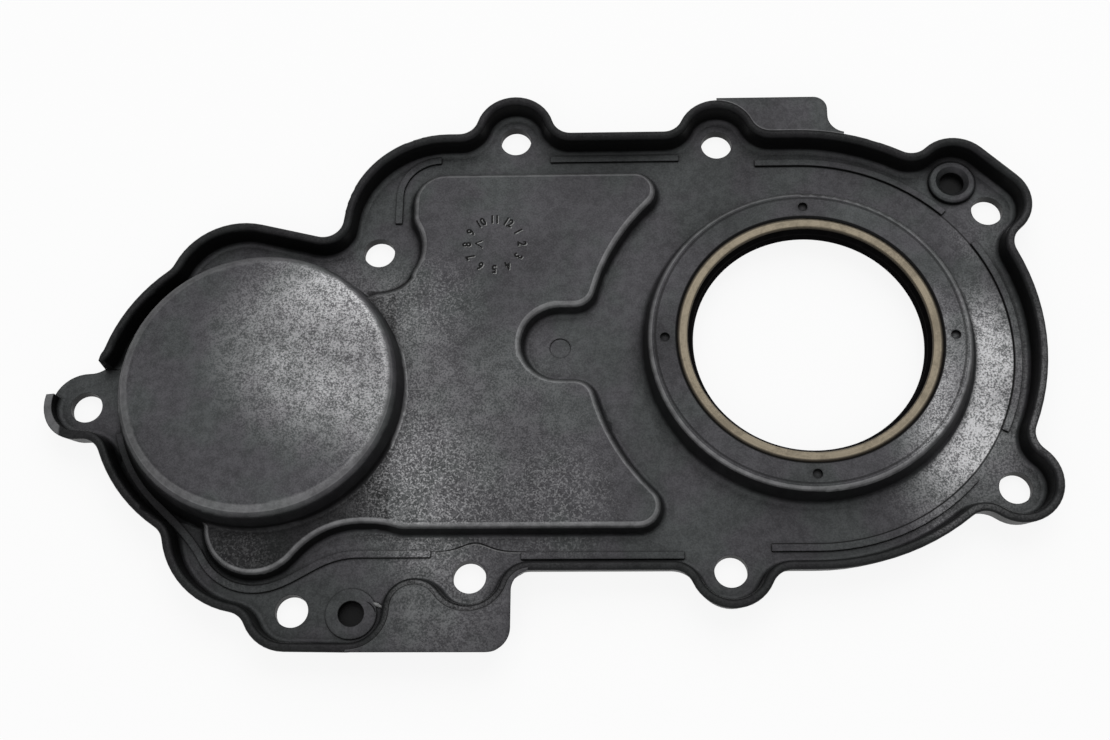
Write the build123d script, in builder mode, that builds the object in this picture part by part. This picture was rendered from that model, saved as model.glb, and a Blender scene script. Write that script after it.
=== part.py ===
# A two-lobed die-cast end cover that carries a crankshaft seal.
# The mating face lies on Z = 0, the front with the raised lip looks up, and the bore axis is the Z axis.
# The cover is drawn at the crest of its lip, and its walls lean inward below that, as a drafted casting's do.
from build123d import *

import os
from math import radians, tan

os.makedirs("parts", exist_ok=True)

# Heights
floor_t = 3.0  # plate between the mating face and the front floor
lip_rise = 7.0  # crest of the perimeter lip above the floor
pad_rise = 0.3  # clamp pads above the crest
plateau_rise = 5.0
dome_rise = 14.0
boss_rise = 7.6
bead_rise = 0.6
casting_wall = 3.0  # wall over the hollows of the mating side

# Perimeter lip
crest_w = 2.6
crest_out_r = 0.8
crest_in_r = 1.4
outer_lean = 12.5  # degrees off the vertical
inner_lean = 9.0
inner_foot_r = 1.6

# Large lobe and body
lobe_x, lobe_r = -0.9, 66.6  # the radius is also half the height of the straight body
corner_x, corner_r = -103.0, 30.0
concave_r = 5.5
ear_r = 11.8

# Small lobe: the dome's lobe, a bulge above it, the neck to the body and a toe below it
dome_x, dome_y, dome_r = -153.0, -14.5, 38.2
dome_lobe_gap = 9.4  # from the dome's shoulder to the outside of its lobe
bulge_x, bulge_y, bulge_r = -161.5, 16.5, 21.4
neck_x, neck_y, neck_r = -120.0, 13.0, 15.0
toe_x, toe_y, toe_r = -152.3, -52.9, 25.2

# Bolt holes
bolt_d = 9.0
top_bolt = (-83.4, 67.2)
mid_top_bolt = (-23.6, 65.2)
mid_low_bolt = (mid_top_bolt[0], -mid_top_bolt[1])
right_top_bolt = (54.2, 42.2)
right_low_bolt = (right_top_bolt[0], -right_top_bolt[1])
shoulder_bolt = (-122.8, 30.6)
left_bolt = (-203.9, -17.0)
low_bolt = (-93.9, -66.6)
toe_bolt = (-141.5, -75.8)
toe_ear_r = 12.5
ear_bolts = [top_bolt, mid_top_bolt, left_bolt, right_low_bolt, mid_low_bolt, low_bolt]
all_bolts = ear_bolts + [right_top_bolt, shoulder_bolt, toe_bolt]

# Blind bosses beside two of the bolts
blind_top = (44.7, 51.3)
blind_low = (-125.4, -76.6)
blind_ear_r = 11.9
blind_r = 6.9
blind_top_rise, blind_low_rise = 1.6, 0.4
blind_bosses = [(blind_top, blind_top_rise), (blind_low, blind_low_rise)]
blind_edge_r = 0.9
blind_hole_d = 7.0
blind_floor = 1.0  # metal left under the blind holes
blind_dish = 1.3  # chamfer of the upper one's mouth

# Clamp pads
top_pad_right = 8.8
top_pad_r = 4.0
low_pad_right = -82.2
low_pad_r = 6.5
pad_run_out = 4.5  # how far a pad's crest runs on along the lip
pad_slope = 60.0

# Plateau
plateau_gap = 12.1  # from the outside of the body to the middle of the plateau's wall
plateau_left = -113.0
plateau_corner_r = 9.5
plateau_tip_r = 6.5
plateau_arc_gap = 16.7  # from the boss to the plateau, whose right side runs round the bore
plateau_toe_gap = 10.9
plateau_sweep_r = 22.0
plateau_ear_clear = 12.6
plateau_lean = 15.0
plateau_edge_r = 2.0
notch_x, notch_r = -69.8, 10.7
plateau_foot_r = 1.5
ejector_r, ejector_depth = 3.0, 0.3  # round mark of an ejector pin in the notch

# Dome
dome_lean = 12.0
dome_edge_r = 4.0
dome_base_round = 1.2

# Seal boss and bore
boss_wall = 8.0  # flat face round the bore, up to the boss's shoulder
boss_lean = 12.0
boss_edge_r = 1.6
boss_foot_r = 2.0
bore_r = 36.9
bore_chamfer = 0.5
dimple_gap = 3.4  # from the bore to the ring of dimples
dimple_d = 2.7
dimple_depth = 1.0

# Raised bead: straight runs inside the long sides and arcs about the bore
bead_w = 2.0
bead_gap = 5.8  # from the outside of the body to the middle of a straight run
bead_top_run = (-73.0, -35.0)
bead_low_run = (-80.0, -36.0)
bead_arc_gap = 7.8
bead_arc_start = 12.5  # the arcs' runs along the sides start this far left of the bore axis
bead_top_end = 45.0  # degrees round the bore
bead_side_ends = (-26.0, 33.0)
bead_low_end = -42.0
bead_corner_x, bead_corner_r, bead_corner_low = -117.5, 12.0, 40.0
bead_toe_x, bead_toe_turn_x, bead_toe_y, bead_toe_r = -104.6, -124.0, -60.2, 17.0
bead_toe_ends = (-75.0, -150.0)  # degrees round the toe's centre
bead_dome_gap = 0.7  # from the foot of the dome's wall to the middle of the bead round it
bead_dome_ends = (222.0, 194.5)
quarter_turn = 90.0

# Left ear: its lip slopes down outward and is open on the upper side
slope_end_x, slope_end_rise = -216.0, 3.3
open_lip = (-14.3, -5.5)

# Shaft seal: a metal case pressed into the bore, a rubber lip and a garter spring
seal_sink = 0.3  # face of the seal below the boss
seal_depth = 8.0
case_wall = 1.2
case_edge_r = 0.5
flange_w = 3.0  # visible width of the case
lip_reach = 1.6  # lip edge inward of the case
lip_drop = 4.6  # lip edge below the seal's face
lip_land = 0.4  # flat of the lip edge that runs on the shaft
lip_head = 2.1  # width of the lip's head
lip_tail = 1.4  # lip's head below its edge
web_t = 1.0
spring_r = 0.65

crest_z = floor_t + lip_rise
crest_mid = (crest_out_r + crest_w - crest_in_r) / 2  # from the outside to the middle of the crest's flat
dome_lobe_r = dome_r + dome_lobe_gap
lobe_left = dome_x - dome_lobe_r
pad_z = crest_z + pad_rise
boss_z = floor_t + boss_rise
plateau_z = floor_t + plateau_rise
dome_z = floor_t + dome_rise
dome_base_r = dome_r + dome_rise * tan(radians(dome_lean))
seal_z = boss_z - seal_sink
boss_r = bore_r + boss_wall
flange_in_r = bore_r - flange_w
lip_r = flange_in_r - lip_reach


def disc(x, y, r):
    with Locations((x, y)):
        Circle(r)


def bridge(first, second):
    """Two discs and the web between their outer tangents."""
    with BuildSketch(mode=Mode.PRIVATE) as s:
        disc(*first)
        disc(*second)
        make_hull()
    add(s.sketch)


def body_outline():
    """The lip's outer outline at its crest, without the pads, filleted in its hollow corners."""
    with BuildSketch(Plane.XY.offset(crest_z), mode=Mode.PRIVATE) as s:
        disc(lobe_x, 0, lobe_r)
        with Locations(((lobe_x + corner_x) / 2, 0)):
            Rectangle(lobe_x - corner_x, 2 * lobe_r)
        disc(corner_x, lobe_r - corner_r, corner_r)
        disc(dome_x, dome_y, dome_lobe_r)
        bridge((toe_x, toe_y, toe_r), (corner_x, toe_r - lobe_r, toe_r))
        bridge((bulge_x, bulge_y, bulge_r), (neck_x, neck_y, neck_r))
        bridge((*toe_bolt, toe_ear_r), (*blind_low, blind_ear_r))
        bridge((*right_top_bolt, ear_r), (*blind_top, blind_ear_r))
        with Locations(ear_bolts):
            Circle(ear_r)
        offset(amount=concave_r)
        offset(amount=-concave_r)
    return s.sketch


def box_between(x0, x1, y0, y1, **kw):
    with Locations(((x0 + x1) / 2, (y0 + y1) / 2)):
        Rectangle(x1 - x0, y1 - y0, **kw)


def arc_between(centre, r, start, end):
    """Arc from one bearing to the other, in degrees round its centre."""
    return CenterArc(centre, r, start, end - start)


def level(part, z):
    """Edges of the part that lie flat at one height."""
    return part.edges().filter_by_position(Axis.Z, z, z)


body = body_outline()

# Clamp pads: each runs off the flank of an ear and ends in a rounded corner
top_pad_y = mid_top_bolt[1] + ear_r
low_pad_y = blind_low[1] - blind_ear_r
with BuildSketch(Plane.XY.offset(pad_z)) as pads:
    add(body.moved(Location((0, 0, pad_rise))))
    box_between(mid_top_bolt[0], top_pad_right - top_pad_r, 0, top_pad_y)
    box_between(mid_top_bolt[0], top_pad_right, 0, top_pad_y - top_pad_r)
    disc(top_pad_right - top_pad_r, top_pad_y - top_pad_r, top_pad_r)
    box_between(blind_low[0], low_pad_right - low_pad_r, low_pad_y, 0)
    box_between(blind_low[0], low_pad_right, low_pad_y + low_pad_r, 0)
    disc(low_pad_right - low_pad_r, low_pad_y + low_pad_r, low_pad_r)
    offset(amount=concave_r)
    offset(amount=-concave_r)
    with BuildSketch(Plane.XY.offset(pad_z), mode=Mode.PRIVATE) as zones:
        box_between(mid_top_bolt[0], top_pad_right + pad_run_out, lobe_r - 2 * concave_r, top_pad_y)
        box_between(blind_low[0], low_pad_right + pad_run_out, low_pad_y, 2 * concave_r - lobe_r)
    add(zones.sketch, mode=Mode.INTERSECT)

# The blocks take only what lies outside the middle of the lip, and slope up from its crest
with BuildPart(mode=Mode.PRIVATE) as pad_blocks:
    extrude(pads.sketch, amount=-pad_z, taper=outer_lean)
    with BuildSketch(Plane.XY.offset(crest_z), mode=Mode.PRIVATE) as mid_crest:
        add(body)
        offset(amount=-crest_mid)
    extrude(mid_crest.sketch, amount=pad_rise, taper=-pad_slope, mode=Mode.SUBTRACT)
    extrude(mid_crest.sketch, amount=-crest_z, taper=outer_lean, mode=Mode.SUBTRACT)

# Plateau outline at half its height: it follows the body, rings the seal boss and clears the shoulder bolt
top_y = lobe_r - plateau_gap
with BuildSketch(mode=Mode.PRIVATE) as plateau_area:
    box_between(plateau_left, 0, -top_y, top_y - plateau_corner_r)
    box_between(plateau_left + plateau_corner_r, 0, 0, top_y)
    disc(plateau_left + plateau_corner_r, top_y - plateau_corner_r, plateau_corner_r)
    disc(toe_x, toe_y, toe_r - plateau_toe_gap)
    box_between(toe_x, plateau_left, toe_y, dome_y)
    offset(amount=plateau_sweep_r)
    offset(amount=-plateau_sweep_r)
    with Locations((0, 0)):
        Circle(boss_r + plateau_arc_gap, mode=Mode.SUBTRACT)
    with Locations((notch_x, 0)):
        Circle(notch_r, mode=Mode.SUBTRACT)
    box_between(notch_x, 0, -notch_r, notch_r, mode=Mode.SUBTRACT)
    with Locations(shoulder_bolt):
        Circle(plateau_ear_clear, mode=Mode.SUBTRACT)
    offset(amount=-plateau_tip_r)
    offset(amount=plateau_tip_r)

half_in = plateau_rise / 2 * tan(radians(plateau_lean))
with BuildPart(mode=Mode.PRIVATE) as plateau:
    with BuildSketch(Plane.XY.offset(plateau_z)) as plateau_top:
        add(plateau_area.sketch)
        offset(amount=-half_in)
    extrude(amount=-plateau_rise, taper=-plateau_lean)
    fillet(plateau.edges().group_by(Axis.Z)[-1], plateau_edge_r)

with BuildPart(mode=Mode.PRIVATE) as dome:
    with BuildSketch(Plane.XY.offset(dome_z)):
        disc(dome_x, dome_y, dome_r)
    extrude(amount=-dome_rise, taper=-dome_lean)
    fillet(dome.edges().group_by(Axis.Z)[-1], dome_edge_r)

with BuildPart(mode=Mode.PRIVATE) as boss:
    with BuildSketch(Plane.XY.offset(boss_z)):
        Circle(boss_r)
    extrude(amount=-boss_rise, taper=-boss_lean)
    fillet(boss.edges().group_by(Axis.Z)[-1], boss_edge_r)

# Beads
bead_y = lobe_r - bead_gap
bead_arc_r = lobe_r - bead_arc_gap
with BuildSketch(Plane.XY.offset(floor_t)) as beads:
    for run, y in ((bead_top_run, bead_y), (bead_low_run, -bead_y)):
        with BuildLine(mode=Mode.PRIVATE) as straight:
            Line((run[0], y), (run[1], y))
        trace(straight.line, bead_w)
    for side, end in ((1, bead_top_end), (-1, -bead_low_end)):
        with BuildLine(mode=Mode.PRIVATE) as hook:
            Line((-bead_arc_start, side * bead_arc_r), (0, side * bead_arc_r))
            arc_between((0, 0), bead_arc_r, side * quarter_turn, side * end)
        trace(hook.line, bead_w)
    with BuildLine(mode=Mode.PRIVATE) as side_arc:
        arc_between((0, 0), bead_arc_r, *bead_side_ends)
    trace(side_arc.line, bead_w)
    with BuildLine(mode=Mode.PRIVATE) as corner:
        Line((bead_corner_x, bead_corner_low), (bead_corner_x, bead_y - bead_corner_r))
        corner_centre = (bead_corner_x + bead_corner_r, bead_y - bead_corner_r)
        arc_between(corner_centre, bead_corner_r, 2 * quarter_turn, quarter_turn)
    trace(corner.line, bead_w)
    with BuildLine(mode=Mode.PRIVATE) as toe_bead:
        start = Line((bead_toe_x, bead_toe_y), (bead_toe_turn_x, bead_toe_y))
        turn = arc_between((toe_x, toe_y), bead_toe_r, *bead_toe_ends)
        rim = arc_between((dome_x, dome_y), dome_base_r + bead_dome_gap, *bead_dome_ends)
        Spline((start @ 1, turn @ 0), tangents=(start % 1, turn % 0))
        Spline((turn @ 1, rim @ 0), tangents=(turn % 1, rim % 0))
    trace(toe_bead.line, bead_w)

with BuildPart() as seal_cover:
    extrude(body, amount=-crest_z, taper=outer_lean)
    fillet(seal_cover.edges().group_by(Axis.Z)[-1], crest_out_r)
    with BuildSketch(Plane.XY.offset(crest_z)) as cavity:
        add(body)
        offset(amount=-crest_w)
    extrude(amount=-lip_rise, taper=inner_lean, mode=Mode.SUBTRACT)
    crest_face = seal_cover.faces().filter_by(Axis.Z).sort_by(Axis.Z)[-1]
    fillet(crest_face.inner_wires()[0].edges(), crest_in_r)
    fillet(level(seal_cover, floor_t), inner_foot_r)
    add(pad_blocks.part)
    add(plateau.part)
    plateau_foot = seal_cover.edges(Select.LAST).filter_by_position(Axis.Z, floor_t, floor_t)
    fillet(plateau_foot, plateau_foot_r)
    add(boss.part)
    boss_foot = seal_cover.edges(Select.LAST).filter_by_position(Axis.Z, floor_t, floor_t)
    fillet(boss_foot, boss_foot_r)
    add(dome.part)
    dome_foot = seal_cover.edges(Select.LAST).filter_by_position(Axis.Z, floor_t, floor_t)
    dome_seam = seal_cover.edges(Select.LAST).filter_by_position(Axis.Z, plateau_z, plateau_z)
    fillet(dome_foot + dome_seam, dome_base_round)
    extrude(beads.sketch, amount=bead_rise)
    for centre, rise in blind_bosses:
        with BuildSketch(Plane.XY.offset(floor_t)):
            disc(*centre, blind_r)
        extrude(amount=rise)
    fillet(level(seal_cover, floor_t + blind_top_rise), blind_edge_r)
    # Hollows of the mating side
    with BuildSketch() as plateau_hollow:
        add(plateau_area.sketch)
        offset(amount=-casting_wall)
    extrude(amount=plateau_z - casting_wall, mode=Mode.SUBTRACT)
    with BuildSketch(Plane.XY.offset(dome_z - casting_wall)):
        disc(dome_x, dome_y, dome_r - casting_wall)
    extrude(amount=casting_wall - dome_z, taper=-dome_lean, mode=Mode.SUBTRACT)
    # Left ear
    with BuildSketch(Plane.XZ.offset(-left_bolt[1] - ear_r)):
        with BuildLine():
            Polyline(
                (lobe_left, crest_z + pad_rise),
                (lobe_left, crest_z),
                (slope_end_x, floor_t + slope_end_rise),
                (slope_end_x, crest_z + pad_rise),
                close=True,
            )
        make_face()
    extrude(amount=2 * ear_r, mode=Mode.SUBTRACT)
    with BuildSketch(Plane.XY.offset(floor_t)):
        box_between(slope_end_x, lobe_left + ear_r, open_lip[0], left_bolt[1] + 2 * ear_r)
        with Locations((dome_x, dome_y)):
            Circle(dome_lobe_r, mode=Mode.SUBTRACT)
        box_between(slope_end_x, dome_x - dome_base_r, *open_lip)
    extrude(amount=lip_rise, mode=Mode.SUBTRACT)
    # Holes
    with Locations(*[(x, y, floor_t) for x, y in all_bolts]):
        Hole(bolt_d / 2)
    for centre, rise in blind_bosses:
        with Locations((*centre, floor_t + rise)):
            Hole(blind_hole_d / 2, depth=floor_t + rise - blind_floor)
    chamfer(level(seal_cover, floor_t + blind_top_rise).sort_by(Edge.length)[0], blind_dish)
    with Locations((notch_x, 0, floor_t)):
        Hole(ejector_r, depth=ejector_depth)
    with Locations((0, 0, boss_z)):
        Hole(bore_r)
        with PolarLocations(bore_r + dimple_gap, 4):
            Hole(dimple_d / 2, depth=dimple_depth)
    round_walls = seal_cover.faces().filter_by(GeomType.CYLINDER)
    bore_wall = round_walls.filter_by(lambda face: face.radius == bore_r)
    chamfer(bore_wall.edges().filter_by(GeomType.CIRCLE), bore_chamfer)
seal_cover.part.label = "seal_cover"
export_step(seal_cover.part, "parts/seal_cover.step")

# Shaft seal, drawn as half sections and turned about the bore axis
case_in_r = bore_r - case_wall
with BuildPart() as seal_case:
    with BuildSketch(Plane.XZ) as case_section:
        box_between(case_in_r, bore_r, seal_z - seal_depth, seal_z)
        box_between(flange_in_r, bore_r, seal_z - case_wall, seal_z)
        fillet(case_section.vertices().sort_by(Axis.Y)[-2:], case_edge_r)
    revolve(axis=Axis.Z)
seal_case.part.label = "seal_case"
export_step(seal_case.part, "parts/seal_case.step")

lip_z = seal_z - lip_drop
web_z = seal_z - case_wall
throat_r = flange_in_r - web_t
spring_at_r = lip_r + lip_head
with BuildPart() as seal_lip:
    with BuildSketch(Plane.XZ) as lip_section:
        with BuildLine():
            Polyline(
                (case_in_r, web_z),
                (flange_in_r, web_z),
                (throat_r, web_z - web_t),
                (throat_r, lip_z + lip_tail),
                (lip_r, lip_z + lip_land / 2),
                (lip_r, lip_z - lip_land / 2),
                (throat_r, lip_z - lip_tail),
                (spring_at_r, lip_z - lip_tail),
                (spring_at_r, lip_z + lip_tail / 2),
                (flange_in_r, lip_z + lip_tail),
                (flange_in_r, web_z - web_t),
                (case_in_r, web_z - web_t),
                close=True,
            )
        make_face()
        with Locations((spring_at_r, lip_z)):
            Circle(spring_r, mode=Mode.SUBTRACT)
    revolve(axis=Axis.Z)
seal_lip.part.label = "seal_lip"
export_step(seal_lip.part, "parts/seal_lip.step")

with BuildPart() as garter_spring:
    with BuildSketch(Plane.XZ):
        disc(spring_at_r, lip_z, spring_r)
    revolve(axis=Axis.Z)
garter_spring.part.label = "garter_spring"
export_step(garter_spring.part, "parts/garter_spring.step")
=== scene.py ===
"""Dresses the crankshaft seal cover: finishes, cast and struck details, floor, light and camera."""

import bpy
import numpy as np
from bpy.props import FloatProperty, FloatVectorProperty, PointerProperty
from mathutils import Matrix, Vector


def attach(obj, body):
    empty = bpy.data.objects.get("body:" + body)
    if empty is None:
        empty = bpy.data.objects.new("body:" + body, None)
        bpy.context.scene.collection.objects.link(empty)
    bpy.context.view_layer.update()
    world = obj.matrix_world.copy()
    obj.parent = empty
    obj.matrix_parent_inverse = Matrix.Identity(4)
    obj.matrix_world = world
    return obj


bl_info = {
    "name": "Crankshaft seal cover",
    "version": (1, 0, 0),
    "blender": (4, 5, 0),
    "location": "View3D > Sidebar > Seal cover",
    "description": "Finishes, cast details and stage of a die-cast cover with a shaft seal",
    "category": "Object",
}

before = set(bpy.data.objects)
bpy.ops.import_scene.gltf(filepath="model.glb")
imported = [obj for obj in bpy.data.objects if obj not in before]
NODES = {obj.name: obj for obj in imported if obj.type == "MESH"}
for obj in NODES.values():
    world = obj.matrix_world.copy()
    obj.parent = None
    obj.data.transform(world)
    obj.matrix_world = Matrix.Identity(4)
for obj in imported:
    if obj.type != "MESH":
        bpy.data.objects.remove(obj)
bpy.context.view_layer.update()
MM = 0.001

# Heights over the mating face and places (x, y) on the casting, in millimetres
FLOOR = 3.0
PLATEAU = 8.0
SEAL_AXIS = (0.0, 0.0)
SHOULDER_BOLT = (-122.8, 30.6)
DOME_AXIS = (-153.0, -14.5)
UPPER_BLIND_HOLE = (44.7, 51.3)
LOWER_BLIND_HOLE = (-125.4, -76.6)


# Shader maths


class Wire:
    """A socket that can be used in Python expressions. Each operation adds one Math node."""

    def __init__(self, graph, socket):
        self.graph = graph
        self.socket = socket

    def math(self, operation, *others):
        return self.graph.math(operation, self, *others)

    def __add__(self, other):
        return self.math("ADD", other)

    def __radd__(self, other):
        return self.math("ADD", other)

    def __sub__(self, other):
        return self.math("SUBTRACT", other)

    def __rsub__(self, other):
        return self.graph.math("SUBTRACT", other, self)

    def __mul__(self, other):
        return self.math("MULTIPLY", other)

    def __rmul__(self, other):
        return self.math("MULTIPLY", other)

    def up_to_one(self):
        """The value, or 1 where it is more."""
        return self.math("MINIMUM", 1.0)

    def step(self, low, high):
        """0 below low, 1 above high and smooth between them."""
        values = (self, low, high, 0.0, 1.0)
        return self.graph.node("ShaderNodeMapRange", values, interpolation_type="SMOOTHSTEP").out(0)


class Added:
    """A node that has been put in a tree, with its outputs."""

    def __init__(self, graph, node):
        self.graph = graph
        self.raw = node

    def out(self, key):
        return Wire(self.graph, self.raw.outputs[key])


class Graph:
    """The node tree of a material or a world, which owns it."""

    def __init__(self, owner):
        self.owner = owner
        owner.use_nodes = True
        self.tree = owner.node_tree
        self.tree.nodes.clear()

    def node(self, kind, values=(), named=None, **settings):
        """Adds a node: its settings first, then its inputs by order and by name.

        An input is given a value or linked to a Wire, and None leaves it alone.
        """
        node = self.tree.nodes.new(kind)
        for key, value in settings.items():
            setattr(node, key, value)
        for key, value in [*enumerate(values), *(named or {}).items()]:
            if isinstance(value, Wire):
                self.tree.links.new(value.socket, node.inputs[key])
            elif value is not None:
                node.inputs[key].default_value = value
        return Added(self, node)

    def math(self, operation, *values):
        return self.node("ShaderNodeMath", values, operation=operation).out(0)

    def vector(self, operation, *values, scale=None):
        """A vector from vectors. scale is the number that SCALE multiplies by."""
        named = {"Scale": scale}
        return self.node("ShaderNodeVectorMath", values, named, operation=operation).out("Vector")

    def split(self, vector):
        """The X, Y and Z of a vector."""
        parts = self.node("ShaderNodeSeparateXYZ", (vector,))
        return [parts.out(axis) for axis in "XYZ"]

    def place(self, scale=1.0, shift=(0.0, 0.0, 0.0)):
        """Object coordinates in millimetres, times scale and moved by shift."""
        own = self.node("ShaderNodeTexCoord").out("Object")
        named = {"Vector": own, "Location": shift, "Scale": (scale / MM,) * 3}
        return self.node("ShaderNodeMapping", named=named).out("Vector")

    def noise(self, per_mm, detail=3.0, rough=0.55, shift=(0.0, 0.0, 0.0), output="Fac"):
        """Clouds of noise, about per_mm of them to a millimetre."""
        place = self.place(per_mm, shift)
        named = {"Vector": place, "Scale": 1.0, "Detail": detail, "Roughness": rough}
        return self.node("ShaderNodeTexNoise", named=named).out(output)

    def blend(self, amount, first, second, mode="MIX"):
        """Two colours mixed by an amount. 0, 6 and 7 are the Mix node's inputs for colours."""
        named = {0: amount, 6: first, 7: second}
        return self.node("ShaderNodeMix", named=named, data_type="RGBA", blend_type=mode).out(2)

    def grey(self, value):
        """A grey colour from a number."""
        return self.node("ShaderNodeCombineColor", (value, value, value)).out("Color")

    def near(self, reach_mm, facing):
        """How far the normal leans when it is rounded over reach_mm, which it does by an edge."""
        rounded = self.node("ShaderNodeBevel", (reach_mm * MM,), samples=4).out("Normal")
        return (facing - self.split(rounded)[2]).math("ABSOLUTE")

    def bump(self, height, depth_mm, below=None):
        """A normal from a height. below is the bumped normal that it adds to."""
        named = {"Height": height, "Distance": depth_mm * MM, "Strength": 1.0, "Normal": below}
        return self.node("ShaderNodeBump", named=named).out("Normal")

    def background_ray(self):
        """1 for rays that see the background, straight or in metal and glass, and 0 for light."""
        path = self.node("ShaderNodeLightPath")
        seen = path.out("Is Camera Ray").math("MAXIMUM", path.out("Is Glossy Ray"))
        return seen.math("MAXIMUM", path.out("Is Transmission Ray"))

    def finish(self, **sockets):
        """Ends a material in its shader, whose inputs are named with _ for a space."""
        named = {key.replace("_", " "): value for key, value in sockets.items()}
        return self.surface(self.node("ShaderNodeBsdfPrincipled", named=named), "Material")

    def surface(self, shader, kind):
        """Shows a shader on a Material or a World."""
        self.node("ShaderNodeOutput" + kind, named={"Surface": shader.out(0)})
        return self.owner


def rgba(colour, factor=1.0):
    """A colour times a factor, as a socket takes it."""
    return (*(factor * part for part in colour), 1.0)


def length(across, along):
    """Length of the vector (across, along)."""
    return (across * across + along * along).math("SQRT")


def distance(here, axis):
    """Distance in millimetres of the shaded point from the upright axis through (x, y)."""
    return length(here[0] - axis[0], here[1] - axis[1])


def between(value, low, high, soft):
    """1 where a value lies between low and high, fading to 0 over soft on both sides."""
    return value.step(low - soft, low) * (1.0 - value.step(high, high + soft))


def patches(here, places):
    """Sum of round soft patches. places lists (x, y, radius, amount), with lengths in mm."""
    whole = [
        (1.0 - distance(here, (x, y)).step(0.15 * radius, radius)) * amount
        for x, y, radius, amount in places
    ]
    return sum(whole[1:], whole[0])


# Settings


class CoverFinish(bpy.types.PropertyGroup):
    """Colours and wear of the casting."""

    skin: FloatVectorProperty(
        name="Skin", description="Dark die-cast skin",
        subtype="COLOR", default=(0.037, 0.038, 0.039), min=0, max=1,
    )
    # Colour of worn metal, and of the painted highlights on the rims
    rubbed: FloatVectorProperty(
        name="Rubbed metal", description="Lighter metal where the skin is worn",
        subtype="COLOR", default=(0.33, 0.33, 0.335), min=0, max=1,
    )
    # Colour of the walls' black skin, and of the painted shade on walls, in corners, beside edges,
    # in holes and gaps
    wall: FloatVectorProperty(
        name="Walls", description="Steep walls, which keep their black skin",
        subtype="COLOR", default=(0.005, 0.005, 0.0052), min=0, max=1,
    )
    crackle_mm: FloatProperty(
        name="Crackle cell", description="Size of a cell of the crackle, in mm",
        default=1.9, min=0.5,
    )
    roughness: FloatProperty(
        name="Roughness", description="Roughness of the skin", default=0.5, min=0, max=1
    )


class PlateauCorner(bpy.types.PropertyGroup):
    """The plateau's corner between the shoulder bolt and the dome."""

    arc: FloatProperty(
        name="Arc", description="From the shoulder bolt to the middle of the corner's wall",
        unit="LENGTH", default=0.0144,
    )
    deck: FloatProperty(
        name="Deck", description="Height of the corner's flat face",
        unit="LENGTH", default=0.00802,
    )


class SealFinish(bpy.types.PropertyGroup):
    """Colours of the shaft seal."""

    case: FloatVectorProperty(
        name="Case", description="Tan coating of the pressed steel case",
        subtype="COLOR", default=(0.145, 0.124, 0.092), min=0, max=1,
    )
    rubber: FloatVectorProperty(
        name="Rubber", description="Black rubber of the lip",
        subtype="COLOR", default=(0.002, 0.0019, 0.002), min=0, max=1,
    )


class NumberDial(bpy.types.PropertyGroup):
    """Ring of plain numbers struck into the plateau."""

    centre: FloatVectorProperty(
        name="Centre", description="Centre of the dial on the plateau",
        unit="LENGTH", size=2, default=(-0.0888, 0.0307),
    )
    ring: FloatProperty(
        name="Ring radius", description="Radius of the ring of numbers",
        unit="LENGTH", default=0.00785,
    )
    height: FloatProperty(
        name="Digit height", description="Height of one number", unit="LENGTH", default=0.0026
    )
    rise: FloatProperty(
        name="Rise", description="How far the numbers stand out", unit="LENGTH", default=0.00012
    )
    first: FloatProperty(
        name="Twelve", description="Direction of the twelve, in degrees from +X", default=60.5
    )


class Flash(bpy.types.PropertyGroup):
    """Thin lines that the die leaves on the casting."""

    width: FloatProperty(
        name="Width", description="Width of a line", unit="LENGTH", default=0.0004
    )
    rise: FloatProperty(
        name="Rise", description="Height of a line", unit="LENGTH", default=0.00015
    )


class Stage(bpy.types.PropertyGroup):
    """Floor, lamps and camera."""

    key: FloatProperty(
        name="Key lamp", description="Power of the lamp over the far side",
        unit="POWER", default=9.0, min=0,
    )
    fill: FloatProperty(
        name="Fill lamp", description="Power of the lamp over the near side",
        unit="POWER", default=2.0, min=0,
    )
    sky: FloatProperty(
        name="Sky", description="Strength of the even light from all round", default=0.5, min=0
    )
    lens: FloatProperty(
        name="Lens", description="Focal length in millimetres on a 36 mm frame",
        default=52.27, min=10,
    )
    floor_drop: FloatProperty(
        name="Floor", description="Floor below the mating face", unit="LENGTH", default=0.0001
    )


# Casting

# Rubbed bright on the dome and elsewhere, finely cracked, and darker with painted shade: (x, y,
# radius, amount)
DOME_RUBS = ((-133, -2, 40, 1.1), (-127, 8, 24, 0.6))
RUBS = (
    (-100, -30, 50, 0.22), (51, -12, 38, 1.5), (44, -40, 28, 0.8),
    (-100, -78, 22, 0.3), (55, 35, 16, 0.35), (-104, -58, 16, 0.2),
)
NETS = (
    (-104, -46, 26, 0.42), (-113, -30, 22, 0.25), (-70, -46, 22, 0.25),
    (-107, 13, 20, 0.22), (-156, -61, 14, 0.1),
)
# Patches of painted shade, among them the upper blind hole's cone
PAINTED_SHADES = (
    (-60, 62, 30, 0.4), (-20, 62, 30, 0.3), (20, 60, 24, 0.2), (0, 42, 16, 0.25),
    (-18, 38, 13, 0.3), (-30, 34, 16, 0.2), (-150, -75, 26, 0.15), (-190, -50, 30, 0.4),
    (0, -50, 26, 0.15), (*UPPER_BLIND_HOLE, 7, 0.6), (-41, -2, 14, 0.35),
)

# Factors on the skin's colour in its two kinds of cloud
COOL, WARM = (0.98, 1.02, 1.01), (1.03, 0.98, 1.04)

# Heights in millimetres where the crest lies, and over which the dome's top begins
CREST = (8.0, 10.1)
DOME_TOP = (11.0, 13.0)
# How far out the tray right of the bore, the painted shade line at its lip's foot and the lip's
# side lie, in mm
TRAY = (47.0, 57.2)
LIP_FOOT_SHADE = (57.55, 57.85)
LIP_SIDE = (57.0, 58.5)
# The x in millimetres at which the body gives way to the left lobe
BODY_END = (-116.5, -115.5)
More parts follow.
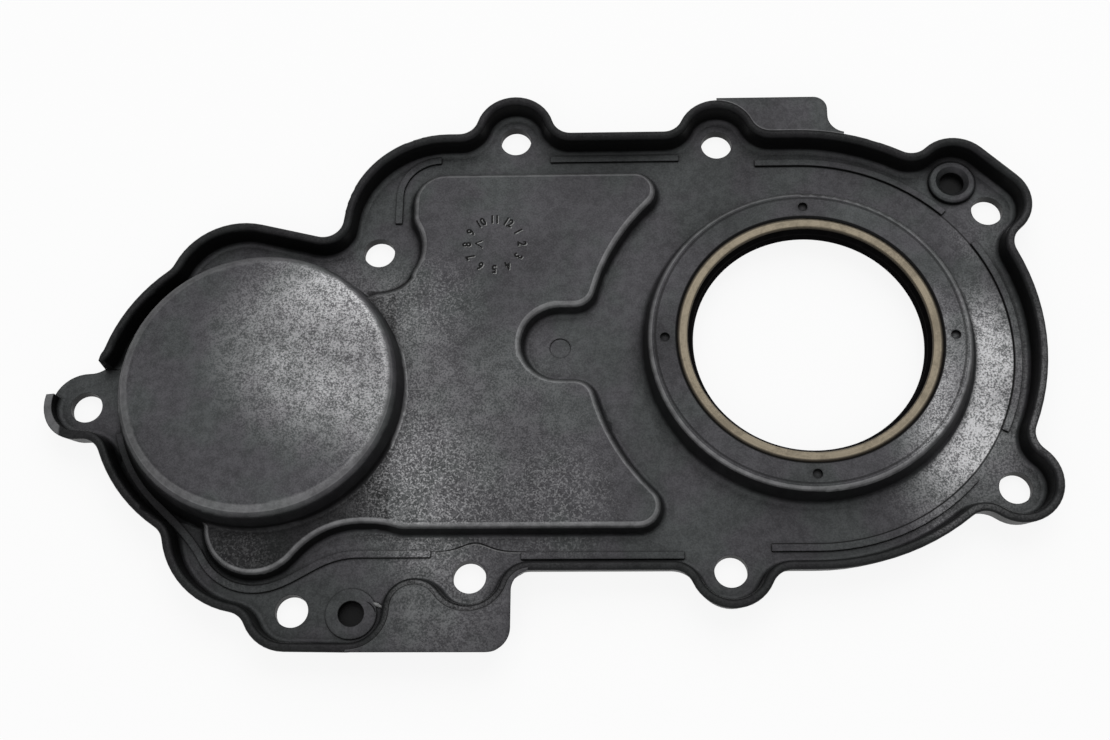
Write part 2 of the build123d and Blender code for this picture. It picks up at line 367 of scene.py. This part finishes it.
# Radii in mm of the painted shade in the gap and groove round the seal, in a blind hole and at the
# foot round the bolt
SEAL_GAP_SHADE = (37.3, 37.6)
GROOVE = (42.9, 43.2)
BLIND_HOLE = (3.4, 3.7)
SHOULDER_FOOT_SHADE = (12.6, 14.2)


class CastPoint:
    """The shaded point of the casting: its place in mm, its face's lean, its zones and noises."""

    def __init__(self, graph):
        self.x, self.y, self.height = graph.split(graph.place())
        self.here = (self.x, self.y)
        # The normal's lean to the far side, and upwards
        _, self.away, self.facing = graph.split(graph.node("ShaderNodeTexCoord").out("Normal"))
        self.flat = self.facing.step(0.8, 0.985)

        # How far out it is: from the bore's axis on the right, and from the middle line elsewhere
        self.out = length(self.x.math("MAXIMUM", 0.0), self.y)
        self.within = (1.0 - self.out.step(*LIP_SIDE)) * self.x.step(*BODY_END)
        self.crest = between(self.height, *CREST, 0.15) * (1.0 - self.within)
        self.on_dome = self.height.step(*DOME_TOP)

        self.clouds = graph.noise(0.035, detail=4.0)
        self.mottle = graph.noise(0.3, detail=5.0, rough=0.68, shift=(3.0, 7.0, 1.0))
        self.grain = graph.noise(1.9, detail=3.0, rough=0.75)
        self.speck = (self.grain * 0.7 + self.mottle * 0.3).step(0.41, 0.6)


def crack_net(graph, cell_mm):
    """Distance from the seams between cells of cell_mm whose edges wander, in cells."""
    drift = graph.noise(0.6, detail=2.0, rough=0.5, output="Color")
    drift = graph.vector("SUBTRACT", drift, (0.5, 0.5, 0.5))
    cells = graph.place(1.0 / cell_mm)
    bent = graph.vector("ADD", cells, graph.vector("SCALE", drift, scale=1.1))
    named = {"Vector": bent, "Scale": 1.0}
    return graph.node("ShaderNodeTexVoronoi", named=named, feature="DISTANCE_TO_EDGE").out(0)


def rubbed_share(at, cracks):
    """Share of bare metal and painted highlight: rubbed patches and cracks on the flat faces, and
    the rims round them, partly rubbed and partly painted highlight.
    """
    in_tray = 1.0 - at.x.step(30.0, 42.0) * (1.0 - between(at.out, *TRAY, 0.6)) * 0.8
    dome_rub = patches(at.here, DOME_RUBS) * (0.3 + at.on_dome * 0.7)
    rub = patches(at.here, RUBS) * in_tray + dome_rub
    rub = rub * (0.4 + at.clouds.step(0.3, 0.7) * 0.6)
    spots = rub * (0.12 + at.speck * 0.88) + cracks + at.speck * 0.02

    # Rims get painted highlights and some wear, brightest where they face the near side, and the
    # dome's is the narrowest
    near_side_highlight = 1.0 - at.away.step(-0.2, 0.45) * 0.6
    upper = between(at.facing, 0.75, 0.965, 0.03) * (1.0 - at.height.step(12.0, 13.0) * 0.35)
    lower = between(at.facing, 0.45, 0.75, 0.1) * (0.6 - at.on_dome * 0.35)
    rim = (upper + lower).up_to_one() * at.height.step(5.8, 6.6) * (1.0 - at.crest) * near_side_highlight
    return (spots * at.flat + rim * (0.2 + at.mottle.step(0.3, 0.7) * 0.16)).up_to_one()


def skin_tone(graph, at, skin, cracked):
    """The unworn skin in its cool and warm clouds, darker where it is cracked and on the crest,
    with patches of painted shade.
    """
    shade = 0.62 + at.speck * 0.24 + at.mottle.step(0.3, 0.7) * 0.28
    shade = shade + at.clouds.step(0.35, 0.65) * 0.18
    shade = shade * (1.0 - cracked * 0.2) * (1.0 - at.crest * 0.7)
    # Darker in patches of painted shade, lighter on the dome's top
    shade = shade * (1.0 - patches(at.here, PAINTED_SHADES)) * (1.0 + at.on_dome * 0.2)
    cool, warm = (rgba([c * k for c, k in zip(skin, tint)]) for tint in (COOL, WARM))
    warmth = graph.noise(0.06, detail=2.0, shift=(9.0, 2.0, 5.0)).step(0.4, 0.6)
    return graph.blend(1.0, graph.blend(warmth, cool, warm), graph.grey(shade), "MULTIPLY")


def dark_share(graph, at, groove, lined):
    """Share of black painted shade: corners, lines beside sharp edges where lined, the groove,
    holes and gaps.
    """
    # Painted shade in corners and hollows, from ambient occlusion
    named = {"Distance": 4.0 * MM}
    open_sky = graph.node("ShaderNodeAmbientOcclusion", named=named, samples=8).out("AO")
    corners = (1.0 - open_sky.step(0.4, 0.98)) * 0.85
    # Painted shade: a thin line at the lip's foot on the right, and where lined, lines beside sharp
    # edges and a band inside the plateau's rim
    lip_foot_shade = between(at.out, *LIP_FOOT_SHADE, 0.2) * at.x.step(-13.0, -12.0)
    lip_foot_shade = lip_foot_shade * (1.0 - at.height.step(3.7, 3.9))
    if lined:
        edge = graph.near(0.45, at.facing).step(0.02, 0.16) * at.flat
        rim_inside_shade = graph.near(2.2, at.facing).step(0.015, 0.2) * at.facing.step(0.985, 0.999)
        lines = edge.math("MAXIMUM", lip_foot_shade) * 0.8 + rim_inside_shade * at.height.step(6.0, 7.0) * 0.3
    else:
        lines = lip_foot_shade * 0.8

    # The foot of the plateau round the shoulder bolt, in the wall's shadow
    foot = between(distance(at.here, SHOULDER_BOLT), *SHOULDER_FOOT_SHADE, 0.7)
    foot = foot * at.x.step(-127.0, -124.0) * (1.0 - at.y.step(32.0, 37.0))
    foot = foot * (1.0 - at.height.step(3.4, 5.0))

    # Painted shade inside the two blind holes and in the gap round the seal
    upper = 1.0 - distance(at.here, UPPER_BLIND_HOLE).step(*BLIND_HOLE)
    lower = 1.0 - distance(at.here, LOWER_BLIND_HOLE).step(*BLIND_HOLE)
    seal_gap_shade = 1.0 - distance(at.here, SEAL_AXIS).step(*SEAL_GAP_SHADE)
    black = upper + lower + seal_gap_shade
    return (lines + groove * 0.6 + foot * 0.7 + corners + black).up_to_one()


def cast_skin(name, look, lined=True):
    """Die-cast skin: dark and finely speckled, with rubbed patches and cracks, painted highlights
    on its rims, black walls partly painted shade, and painted shade in corners, holes and gaps.

    lined draws the painted shade lines beside sharp edges.
    """
    g = Graph(bpy.data.materials.new(name))
    at = CastPoint(g)
    web = patches(at.here, NETS)
    seam = crack_net(g, look.crackle_mm)
    cracks = web * (1.0 - seam.step(0.02, 0.24)) * at.grain.step(0.42, 0.62)
    worn = rubbed_share(at, cracks)
    tone = skin_tone(g, at, look.skin, web * seam.step(0.1, 0.3))

    # Walls are painted black, partly their black skin and partly painted shade, less of it within
    # the lip and high up outside
    beyond = 1.0 - at.within
    wall = 1.0 - at.within * 0.4 - at.height.step(7.0, 9.6) * beyond * 0.4
    coat_and_wall_shade = g.blend((1.0 - at.facing.step(0.2, 0.5)) * wall, tone, rgba(look.wall))
    metal = g.blend(worn, coat_and_wall_shade, rgba(look.rubbed))
    # The groove round the seal's boss: a bump, with painted shade in it
    groove = between(distance(at.here, SEAL_AXIS), *GROOVE, 0.25) * at.height.step(10.3, 10.5)
    colour = g.blend(dark_share(g, at, groove, lined), metal, rgba(look.wall))

    rough = look.roughness + at.mottle * 0.16 - 0.08 - worn * 0.1
    coarse = g.bump(at.clouds * 0.5 + at.mottle * 0.5, 0.1)
    fine = g.bump(at.grain * 0.8 + cracks * 0.4 - groove * 2.0, 0.04, coarse)
    return g.finish(
        Base_Color=colour, Roughness=rough, Metallic=0.7, Specular_IOR_Level=0.2, Normal=fine
    )


def give(material, name):
    """Puts a material on a CAD piece."""
    materials = NODES[name].data.materials
    materials.clear()
    materials.append(material)


class SEAL_COVER_OT_cast_skin(bpy.types.Operator):
    """Give the casting its mottled die-cast skin."""

    bl_idname = "seal_cover.cast_skin"
    bl_label = "Cast skin"

    def execute(self, context):
        give(cast_skin("die_cast_skin", context.scene.cover_finish), "seal_cover")
        return {"FINISHED"}


# Shaft seal


def pressed_case(name, colour):
    """Tan coated steel with turning marks round the axis, darker stains, and painted shade at its
    edges and below its flange.
    """
    g = Graph(bpy.data.materials.new(name))
    x, y, height = g.split(g.place())
    ring = distance((x, y), SEAL_AXIS)
    named = {"W": ring * 5.0, "Detail": 3.0, "Scale": 1.0}
    marks = g.node("ShaderNodeTexNoise", named=named, noise_dimensions="1D").out("Fac")
    grain = g.noise(1.6, detail=3.0)
    stain = g.noise(0.13, detail=4.0, rough=0.6) * 0.7 + grain * 0.3
    tone = g.blend(marks.step(0.3, 0.7), rgba(colour), rgba(colour, 1.3))
    aged = g.blend(stain.step(0.43, 0.62) * 0.5, tone, rgba(colour, 0.5))
    # Painted shade outside and inside the flat of the flange, and over all that lies below it
    edge = ring.step(35.9, 36.6) + (1.0 - ring.step(33.9, 34.4)) * 0.7
    edge = (edge + (1.0 - height.step(9.0, 9.6))).up_to_one()
    shade = g.blend(edge * 0.9, aged, rgba((0.012, 0.009, 0.006)))
    return g.finish(
        Base_Color=shade, Roughness=0.36 + grain * 0.16, Metallic=(1.0 - edge) * 0.7,
        Specular_IOR_Level=0.1, Normal=g.bump(marks * 0.6 + grain * 0.4, 0.02),
    )


def moulded_rubber(name, colour):
    """Black moulded rubber with a faint bloom."""
    g = Graph(bpy.data.materials.new(name))
    bloom = g.noise(0.5, detail=4.0)
    tone = g.blend(bloom.step(0.4, 0.75), rgba(colour), rgba(colour, 1.8))
    bump = g.bump(g.noise(3.0, detail=2.0), 0.01)
    rough = 0.55 + bloom * 0.2
    return g.finish(Base_Color=tone, Roughness=rough, Specular_IOR_Level=0.01, Normal=bump)


def wound_wire(name, turns):
    """Bright wire whose turns show as fine ribs round the ring, lighter on the turns as painted
    highlight and darker between them as painted shade.
    """
    g = Graph(bpy.data.materials.new(name))
    x, y, _ = g.split(g.place())
    ribs = (g.math("ARCTAN2", y, x) * turns).math("SINE")
    # Painted highlight on each turn and painted shade between the turns
    tone = g.blend(ribs.step(-0.8, 0.6), rgba((0.12,) * 3), rgba((0.5,) * 3))
    return g.finish(Base_Color=tone, Roughness=0.3, Metallic=0.9, Normal=g.bump(ribs, 0.05))


class SEAL_COVER_OT_seal_finish(bpy.types.Operator):
    """Give the seal's case, rubber lip and garter spring their finishes."""

    bl_idname = "seal_cover.seal_finish"
    bl_label = "Seal finish"

    def execute(self, context):
        look = context.scene.seal_finish
        give(pressed_case("tan_case", look.case), "seal_case")
        give(moulded_rubber("black_rubber", look.rubber), "seal_lip")
        give(wound_wire("spring_wire", 520.0), "garter_spring")
        return {"FINISHED"}


# Shapes


def solid_piece(name, points, faces, material):
    """A piece of the cover from vertices in the shared frame, riding on the part."""
    mesh = bpy.data.meshes.new(name)
    mesh.from_pydata(points.tolist(), [], faces)
    mesh.materials.append(material)
    mesh.validate()
    piece = bpy.data.objects.new(name, mesh)
    bpy.context.scene.collection.objects.link(piece)
    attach(piece, "root")
    return piece


def joined(parts):
    """The vertices and faces of several meshes as those of one."""
    starts = np.cumsum([0] + [len(points) for points, _ in parts])
    faces = [
        tuple(int(start) + corner for corner in face)
        for (_, own), start in zip(parts, starts) for face in own
    ]
    return np.vstack([points for points, _ in parts]), faces


def grid_faces(index):
    """Four-sided faces between the neighbours of a grid of vertex numbers."""
    corners = [index[:-1, :-1], index[1:, :-1], index[1:, 1:], index[:-1, 1:]]
    return np.stack(corners, axis=-1).reshape(-1, 4)


def block(plan, top, under):
    """A closed block over a grid of plan points: top and underside at their heights, and a skirt.

    Returns the vertices, the faces and how many of them, the first ones, are the top.
    """
    points = np.concatenate([np.dstack([plan, height]).reshape(-1, 3) for height in (top, under)])
    index = np.arange(top.size).reshape(top.shape)
    on_top = grid_faces(index)
    ring = np.concatenate([index[:, 0], index[-1, 1:], index[-2::-1, -1], index[0, -2:0:-1]])
    after = np.roll(ring, -1)
    skirt = np.column_stack([ring, ring + top.size, after + top.size, after])
    faces = np.concatenate([on_top, on_top[:, ::-1] + top.size, skirt])
    return points, [tuple(face) for face in faces.tolist()], len(on_top)


def even_points(line, count):
    """Points at even steps along a line through corners."""
    run = np.concatenate([[0.0], np.cumsum(np.hypot(*np.diff(line, axis=0).T))])
    even = np.linspace(0.0, run[-1], count)
    return np.column_stack([np.interp(even, run, line[:, k]) for k in (0, 1)])


def arc_points(centre, radii, start, end, count):
    """Points at centre + (rx cos t, ry sin t), with t going from start to end degrees."""
    t = np.radians(np.linspace(start, end, count))
    return np.array(centre) + np.array(radii) * np.column_stack([np.cos(t), np.sin(t)])


# Plateau corner

# Radius of the wall's foot and shoulder, where each ends out from the wall's middle, and how far
# along each the wall takes over, in millimetres, with the wall's lean in degrees
FOOT_RADIUS, FOOT_END, FOOT_RUN = 1.5, 1.82, 1.45
SHOULDER_RADIUS, SHOULDER_END, SHOULDER_RUN = 2.0, 2.21, 1.93
WALL_FROM, WALL_TO, WALL_LEAN = -0.37, 0.27, 15.0
# The corner's sweep round the bolt in degrees, and its rows and columns
CORNER_SWEEP, DOME_FROM = (338.0, 254.0), 275.0
CORNER_ROWS, BAND_COLUMNS, DECK_COLUMNS = 90, 36, 45
# From the bolt to where the fine band starts, to where it ends, and to the line on its right
BAND_START, BAND_REACH, BAND_RIGHT = 12.2, 16.9, 15.3
# Radius of the dome's wall at the plateau, and of the corner's rim inside it
DOME_WALL, DOME_INSIDE = 38.6, 38.4
INSIDE_PLATEAU = ((-107.2, 24.4), (-107.2, -14.5))
# The x at which the underside starts to climb over the hollow, how far it takes and how high
HOLLOW_EDGE, HOLLOW_SLOPE, HOLLOW_RISE = -113.0, 2.6, 3.6


def wall_height(d, low, high):
    """Height in mm of the plateau's side at distance d from the middle of its wall.

    A rounded foot, a leaning wall and a rounded shoulder follow each other. With R the radius,
    E its end and a the lean: the foot is low + R - sqrt(R^2 - (d + E)^2), the wall is the middle
    height + d / tan(a), and the shoulder is high - R + sqrt(R^2 - (E - d)^2).
    """
    foot_run = np.clip(d + FOOT_END, 0.0, FOOT_RUN)
    foot = low + FOOT_RADIUS - np.sqrt(FOOT_RADIUS**2 - foot_run**2)
    wall = (low + high) / 2 + d / np.tan(np.radians(WALL_LEAN))
    shoulder_run = np.clip(SHOULDER_END - d, 0.0, SHOULDER_RUN)
    shoulder = high - SHOULDER_RADIUS + np.sqrt(SHOULDER_RADIUS**2 - shoulder_run**2)
    return np.where(d < WALL_FROM, foot, np.where(d < WALL_TO, wall, shoulder))


def corner_mesh(arc, deck):
    """The plateau's corner, which the shoulder bolt's clearance and the dome bound, in mm.

    The plan point at (a, s) runs from the bolt's arc, at bolt + r (cos t, sin t) with t from 338
    to 254 degrees as a goes from 0 to 1, straight to the same share of the rim that ends inside
    the plateau and inside the dome's wall. Its height is wall_height of the distance from the
    arc. The underside is the same plan at the floor, stepping up over the plateau's hollow.
    """
    bolt, dome = np.array(SHOULDER_BOLT), np.array(DOME_AXIS)
    degrees = np.linspace(*CORNER_SWEEP, CORNER_ROWS)
    across = arc_points((0.0, 0.0), (1.0, 1.0), *CORNER_SWEEP, CORNER_ROWS)
    # The rim: down inside the plateau, across to the dome's right side and up inside its wall
    dome_side = arc_points(dome, (DOME_INSIDE, DOME_INSIDE), 0.0, 48.5, 40)
    rim = even_points(np.vstack([INSIDE_PLATEAU, dome_side]), CORNER_ROWS)

    # A fine band over the rounded wall, from inside the arc to the plateau's own face or the dome
    reach = dome - bolt
    along = across @ reach
    to_dome = along - np.sqrt(np.clip(DOME_WALL**2 - (reach @ reach - along**2), 0.0, None))
    to_plateau = np.minimum(BAND_REACH, BAND_RIGHT / np.clip(across[:, 0], 0.5, None))
    band_end = np.minimum(to_plateau, np.where(degrees < DOME_FROM, to_dome, np.inf))
    band = BAND_START + (band_end - BAND_START)[:, None] * np.linspace(0.0, 1.0, BAND_COLUMNS)
    near = bolt + band[:, :, None] * across[:, None, :]
    share = np.linspace(0.0, 1.0, DECK_COLUMNS)[None, 1:, None]
    far = near[:, -1:, :] * (1.0 - share) + rim[:, None, :] * share
    plan = np.concatenate([near, far], axis=1)

    # The arc starts 0.6 mm inside the plateau's own and runs out into the dome at its end
    radius = np.interp(degrees, (254.0, 272.0, 300.0, 330.0), (arc + 1.8, arc, arc, 13.2))
    from_arc = np.hypot(*(plan - bolt).transpose(2, 0, 1)) - radius[:, None]
    top = wall_height(from_arc, FLOOR - 0.02, deck)
    climb = np.clip((plan[:, :, 0] - HOLLOW_EDGE) / HOLLOW_SLOPE, 0.0, 1.0)
    return block(plan, top, FLOOR - 0.1 + HOLLOW_RISE * climb)


class SEAL_COVER_OT_plateau_corner(bpy.types.Operator):
    """Run the plateau up to the dome round the shoulder bolt."""

    bl_idname = "seal_cover.plateau_corner"
    bl_label = "Plateau corner"

    def execute(self, context):
        corner = context.scene.plateau_corner
        points, faces, on_top = corner_mesh(corner.arc / MM, corner.deck / MM)
        skin = cast_skin("corner_skin", context.scene.cover_finish, lined=False)
        piece = solid_piece("plateau_corner", points * MM, faces, skin)
        piece.data.polygons.foreach_set("use_smooth", np.arange(len(faces)) < on_top)
        return {"FINISHED"}


# Struck numbers

# Size of the lettering for a digit 1 high, share of its width that is kept, and added thickness
DIGIT_SIZE, DIGIT_WIDTH, DIGIT_WEIGHT = 1.35, 0.82, 0.12 * MM
# The pointer's two strokes from (x, y) to (x, y) off the dial's centre, and half their width
POINTER = (((-5.5, 0.3), (-3.5, 1.1)), ((-5.5, 0.3), (-3.45, -1.15)))
STROKE = 0.17 * MM
# How far the painted highlight, a lit copy of each number, lies off the dark number, and how far it
# sinks as a share of the rise
GLINT, GLINT_SINK = 0.22 * MM, 0.5


def struck_metal(name, grey):
    """Grey metal of the struck numbers and of the flash, a little uneven."""
    g = Graph(bpy.data.materials.new(name))
    dirt = g.noise(1.2, detail=3.0)
    tone = g.blend(dirt.step(0.35, 0.7), rgba((grey,) * 3), rgba((grey,) * 3, 1.6))
    return g.finish(
        Base_Color=tone, Roughness=0.5 + dirt * 0.15, Metallic=0.7, Specular_IOR_Level=0.2,
        Normal=g.bump(dirt, 0.02),
    )


def number_mesh(text, size, rise):
    """Vertices and faces of a number as a thin plate centred on the origin."""
    curve = bpy.data.curves.new("number", "FONT")
    curve.body = text
    curve.size = size
    curve.extrude = rise
    curve.align_x = "CENTER"
    curve.align_y = "CENTER"
    curve.resolution_u = 3
    curve.offset = DIGIT_WEIGHT
    holder = bpy.data.objects.new("number", curve)
    bpy.context.scene.collection.objects.link(holder)
    bpy.context.view_layer.update()
    shown = holder.evaluated_get(bpy.context.evaluated_depsgraph_get())
    mesh = bpy.data.meshes.new_from_object(shown)
    points = np.empty(3 * len(mesh.vertices))
    mesh.vertices.foreach_get("co", points)
    faces = [tuple(polygon.vertices) for polygon in mesh.polygons]
    bpy.data.objects.remove(holder)
    bpy.data.curves.remove(curve)
    bpy.data.meshes.remove(mesh)
    return points.reshape(-1, 3), faces


def dial_number(number, dial):
    """One number of the dial in its place, its foot towards the dial's centre."""
    points, faces = number_mesh(str(number), dial.height * DIGIT_SIZE, dial.rise)
    points[:, 0] *= DIGIT_WIDTH
    angle = np.radians(dial.first - 30.0 * number)
    turn = angle - np.pi / 2
    spin = [[np.cos(turn), np.sin(turn), 0], [-np.sin(turn), np.cos(turn), 0], [0, 0, 1]]
    x, y = dial.centre
    place = (x + dial.ring * np.cos(angle), y + dial.ring * np.sin(angle), PLATEAU * MM)
    return points @ np.array(spin) + place, faces


def dial_stroke(start, end, dial):
    """A thin bar of the dial's pointer between two places in mm off its centre."""
    start, end = np.array(start) * MM, np.array(end) * MM
    side = np.array([start[1] - end[1], end[0] - start[0]])
    side = side / np.hypot(*side) * STROKE
    corners = np.array([start - side, end - side, end + side, start + side])
    corners = corners + np.array(dial.centre)
    levels = (PLATEAU * MM - dial.rise, PLATEAU * MM + dial.rise)
    points = np.vstack([np.column_stack([corners, np.full(4, level)]) for level in levels])
    sides = [(i, (i + 1) % 4, (i + 1) % 4 + 4, i + 4) for i in range(4)]
    return points, [(4, 5, 6, 7), (3, 2, 1, 0), *sides]


class SEAL_COVER_OT_number_dial(bpy.types.Operator):
    """Strike the ring of numbers and the pointer into the plateau."""

    bl_idname = "seal_cover.number_dial"
    bl_label = "Number dial"

    def execute(self, context):
        dial = context.scene.number_dial
        parts = [dial_number(number, dial) for number in range(1, 13)]
        parts += [dial_stroke(start, end, dial) for start, end in POINTER]
        points, faces = joined(parts)
        glint = points + (GLINT, -GLINT, -GLINT_SINK * dial.rise)
        # The numbers are dark, partly dirt and partly painted shade, and the lighter copy beside
        # them is a painted highlight
        solid_piece("number_ring", points, faces, struck_metal("number_face", 0.004))
        solid_piece("number_ring_highlight", glint, faces, struck_metal("number_highlight", 0.13))
        return {"FINISHED"}


# Flash

# How far a ridge's underside lies in the face that carries it
SUNK = 0.02 * MM
# The long line from x to x at its y, and its hump's height, middle and width, in millimetres
LINE_FROM, LINE_TO, LINE_Y = -105.0, -78.5, -59.5
HUMP_HEIGHT, HUMP_X, HUMP_WIDTH = 2.4, -92.6, 5.2
# The short arc's centre and radii, and the flake's two ends
ARC_CENTRE, ARC_RADII = (-124.0, -76.9), (5.2, 4.2)
FLAKE = ((-119.6, -73.6), (-117.0, -74.9))


def ridge(path, width, rise, base):
    """A low ridge carried along a path on a flat face, in metres.

    Across the path, at u from -1 to 1, the ridge is at width / 2 * u * w and stands
    rise * (1 - u^2) * w over the base, where w = sqrt(sin(pi t)) fades it out at both ends, t
    going from 0 to 1 along the path. Its seven points across make a closed ring, so it has an
    underside, and a cap shuts each end.
    """
    along = np.gradient(path, axis=0)
    along /= np.hypot(along[:, 0], along[:, 1])[:, None]
    side = np.column_stack([-along[:, 1], along[:, 0]])
    t = np.linspace(0.0, 1.0, len(path))
    fade = np.sqrt(np.clip(np.sin(np.pi * t), 0.02, 1.0))
    u = np.linspace(-1.0, 1.0, 7)
    spread = width / 2 * u[None, :, None] * fade[:, None, None]
    plan = path[:, None, :] + side[:, None, :] * spread
    lift = base - SUNK + (rise * (1.0 - u**2))[None, :] * fade[:, None]
    points = np.concatenate([plan, lift[:, :, None]], axis=2).reshape(-1, 3)
    n, last = len(u), (len(path) - 1) * len(u)
    i, j = np.meshgrid(np.arange(len(path) - 1), np.arange(n), indexing="ij")
    here, beside = i * n + j, i * n + (j + 1) % n
    sides = np.stack([here, here + n, beside + n, beside], axis=-1).reshape(-1, 4)
    ends = [tuple(range(n)), tuple(range(last + n - 1, last - 1, -1))]
    return points, [tuple(face) for face in sides.tolist()] + ends


class SEAL_COVER_OT_flash(bpy.types.Operator):
    """Leave the thin lines and the flake of flash on the floor of the casting."""

    bl_idname = "seal_cover.flash"
    bl_label = "Flash"

    def execute(self, context):
        width, rise = context.scene.flash.width, context.scene.flash.rise
        # The dark grey paints the lines' shade, and the light grey is a painted highlight on the
        # glint beside the long line and on the flake
        dark, bright = struck_metal("flash_shade", 0.006), struck_metal("flash_highlight", 0.12)
        ground = FLOOR * MM
        # The line is straight but for a hump, a Gaussian, where it passes the bolt hole
        x = np.linspace(LINE_FROM, LINE_TO, 60)
        hump = HUMP_HEIGHT * np.exp(-(((x - HUMP_X) / HUMP_WIDTH) ** 2))
        line = np.column_stack([x, LINE_Y + hump]) * MM
        lit = line - (0.0, 0.45 * MM)
        solid_piece("web_line", *ridge(line, width, rise, ground), dark)
        solid_piece("web_glint", *ridge(lit, width * 0.7, rise * 0.6, ground), bright)
        # An arc from the raised rim of the blind hole to the flake
        rim = ground + 0.4 * MM
        arc = arc_points(ARC_CENTRE, ARC_RADII, 60.0, 5.0, 24) * MM
        flake = np.linspace(*FLAKE, 12) * MM
        solid_piece("flash_arc", *ridge(arc, width, rise, rim), dark)
        solid_piece("flash_flake", *ridge(flake, 2.5 * width, 2.0 * rise, rim), bright)
        return {"FINISHED"}


# Stage

WHITE = (1.0, 1.0, 1.0, 1.0)
CHALK = (0.8, 0.8, 0.8, 1.0)
# How much of the floor's own shade gives way to white, and half the floor's side in metres
FLOOR_WHITE, FLOOR_REACH = 0.88, 9.0
# Middle of the cover, and the camera's place and axes, as solved from the bolt holes and the bore
MIDDLE = (-0.0746, -0.005, 0.0)
CAMERA_PLACE = (-0.05444, -0.17693, 0.42503)
CAMERA_AXES = (
    (0.9993, 0.0066, -0.0371), (0.0078, 0.9274, 0.3739), (0.0369, -0.3739, 0.9267),
)


def backdrop(name):
    """White where the background is seen, with the floor's own shade left in for the shadow."""
    g = Graph(bpy.data.materials.new(name))
    chalk = g.node("ShaderNodeBsdfDiffuse", (CHALK,)).out(0)
    glow = g.node("ShaderNodeEmission", (WHITE, 1.0)).out(0)
    share = g.background_ray() * FLOOR_WHITE
    return g.surface(g.node("ShaderNodeMixShader", (share, chalk, glow)), "Material")


def even_sky(name, strength):
    """Light from all round, which shows as plain white where the background is seen."""
    g = Graph(bpy.data.worlds.new(name))
    named = {"Value": g.background_ray(), "To Min": strength, "To Max": 1.0}
    level = g.node("ShaderNodeMapRange", named=named).out("Result")
    return g.surface(g.node("ShaderNodeBackground", (WHITE, level)), "World")


def floor(name, drop):
    """A flat square below the cover."""
    signs = np.array([(-1, -1), (1, -1), (1, 1), (-1, 1)])
    points = np.column_stack([signs * FLOOR_REACH, np.full(4, -drop)])
    mesh = bpy.data.meshes.new(name)
    mesh.from_pydata(points.tolist(), [], [(0, 1, 2, 3)])
    mesh.materials.append(backdrop("pale_floor"))
    ground = bpy.data.objects.new(name, mesh)
    bpy.context.scene.collection.objects.link(ground)


def lamp(name, power, size, place):
    """A square area lamp that points at the middle of the cover."""
    light = bpy.data.lights.new(name, "AREA")
    light.energy = power
    light.size = size
    holder = bpy.data.objects.new(name, light)
    holder.location = place
    holder.rotation_mode = "QUATERNION"
    holder.rotation_quaternion = (Vector(MIDDLE) - Vector(place)).to_track_quat("-Z", "Y")
    bpy.context.scene.collection.objects.link(holder)


def camera(name, lens):
    """The camera at the angle that the cover is looked at from."""
    view = bpy.data.cameras.new(name)
    view.lens = lens
    view.sensor_width = 36.0
    view.clip_start, view.clip_end = 0.01, 30.0
    eye = bpy.data.objects.new(name, view)
    rows = [(*row, place) for row, place in zip(zip(*CAMERA_AXES), CAMERA_PLACE)]
    eye.matrix_world = Matrix([*rows, (0, 0, 0, 1)])
    bpy.context.scene.collection.objects.link(eye)
    return eye


class SEAL_COVER_OT_stage(bpy.types.Operator):
    """Lay the floor, hang the lamps, light the sky and place the camera."""

    bl_idname = "seal_cover.stage"
    bl_label = "Stage"

    def execute(self, context):
        scene, stage = context.scene, context.scene.stage
        floor("floor", stage.floor_drop)
        lamp("key", stage.key, size=1.2, place=(0.1, 0.75, 0.95))
        lamp("fill", stage.fill, size=0.9, place=(-0.3, -0.6, 0.7))
        scene.world = even_sky("sky", stage.sky)
        scene.view_settings.view_transform = "Standard"
        scene.camera = camera("camera", stage.lens)
        return {"FINISHED"}


# Add-on


class SEAL_COVER_PT_settings(bpy.types.Panel):
    """Settings and steps of the seal cover."""

    bl_label = "Crankshaft seal cover"
    bl_space_type = "VIEW_3D"
    bl_region_type = "UI"
    bl_category = "Seal cover"

    def draw(self, context):
        for name in GROUPS:
            group = getattr(context.scene, name)
            box = self.layout.box()
            for key in group.bl_rna.properties.keys():
                if key not in ("rna_type", "name"):
                    box.prop(group, key)
        for step in STEPS:
            self.layout.operator(step.bl_idname)


STEPS = (
    SEAL_COVER_OT_cast_skin, SEAL_COVER_OT_plateau_corner, SEAL_COVER_OT_seal_finish,
    SEAL_COVER_OT_number_dial, SEAL_COVER_OT_flash, SEAL_COVER_OT_stage,
)
GROUPS = {
    "cover_finish": CoverFinish, "plateau_corner": PlateauCorner, "seal_finish": SealFinish,
    "number_dial": NumberDial, "flash": Flash, "stage": Stage,
}
CLASSES = (*GROUPS.values(), *STEPS, SEAL_COVER_PT_settings)


def register():
    for made in CLASSES:
        bpy.utils.register_class(made)
    for name, group in GROUPS.items():
        setattr(bpy.types.Scene, name, PointerProperty(type=group))


def unregister():
    for name in GROUPS:
        delattr(bpy.types.Scene, name)
    for made in reversed(CLASSES):
        bpy.utils.unregister_class(made)


def main():
    register()
    bpy.ops.seal_cover.cast_skin()
    bpy.ops.seal_cover.plateau_corner()
    bpy.ops.seal_cover.seal_finish()
    bpy.ops.seal_cover.number_dial()
    bpy.ops.seal_cover.flash()
    bpy.ops.seal_cover.stage()


if __name__ == "__main__":
    main()
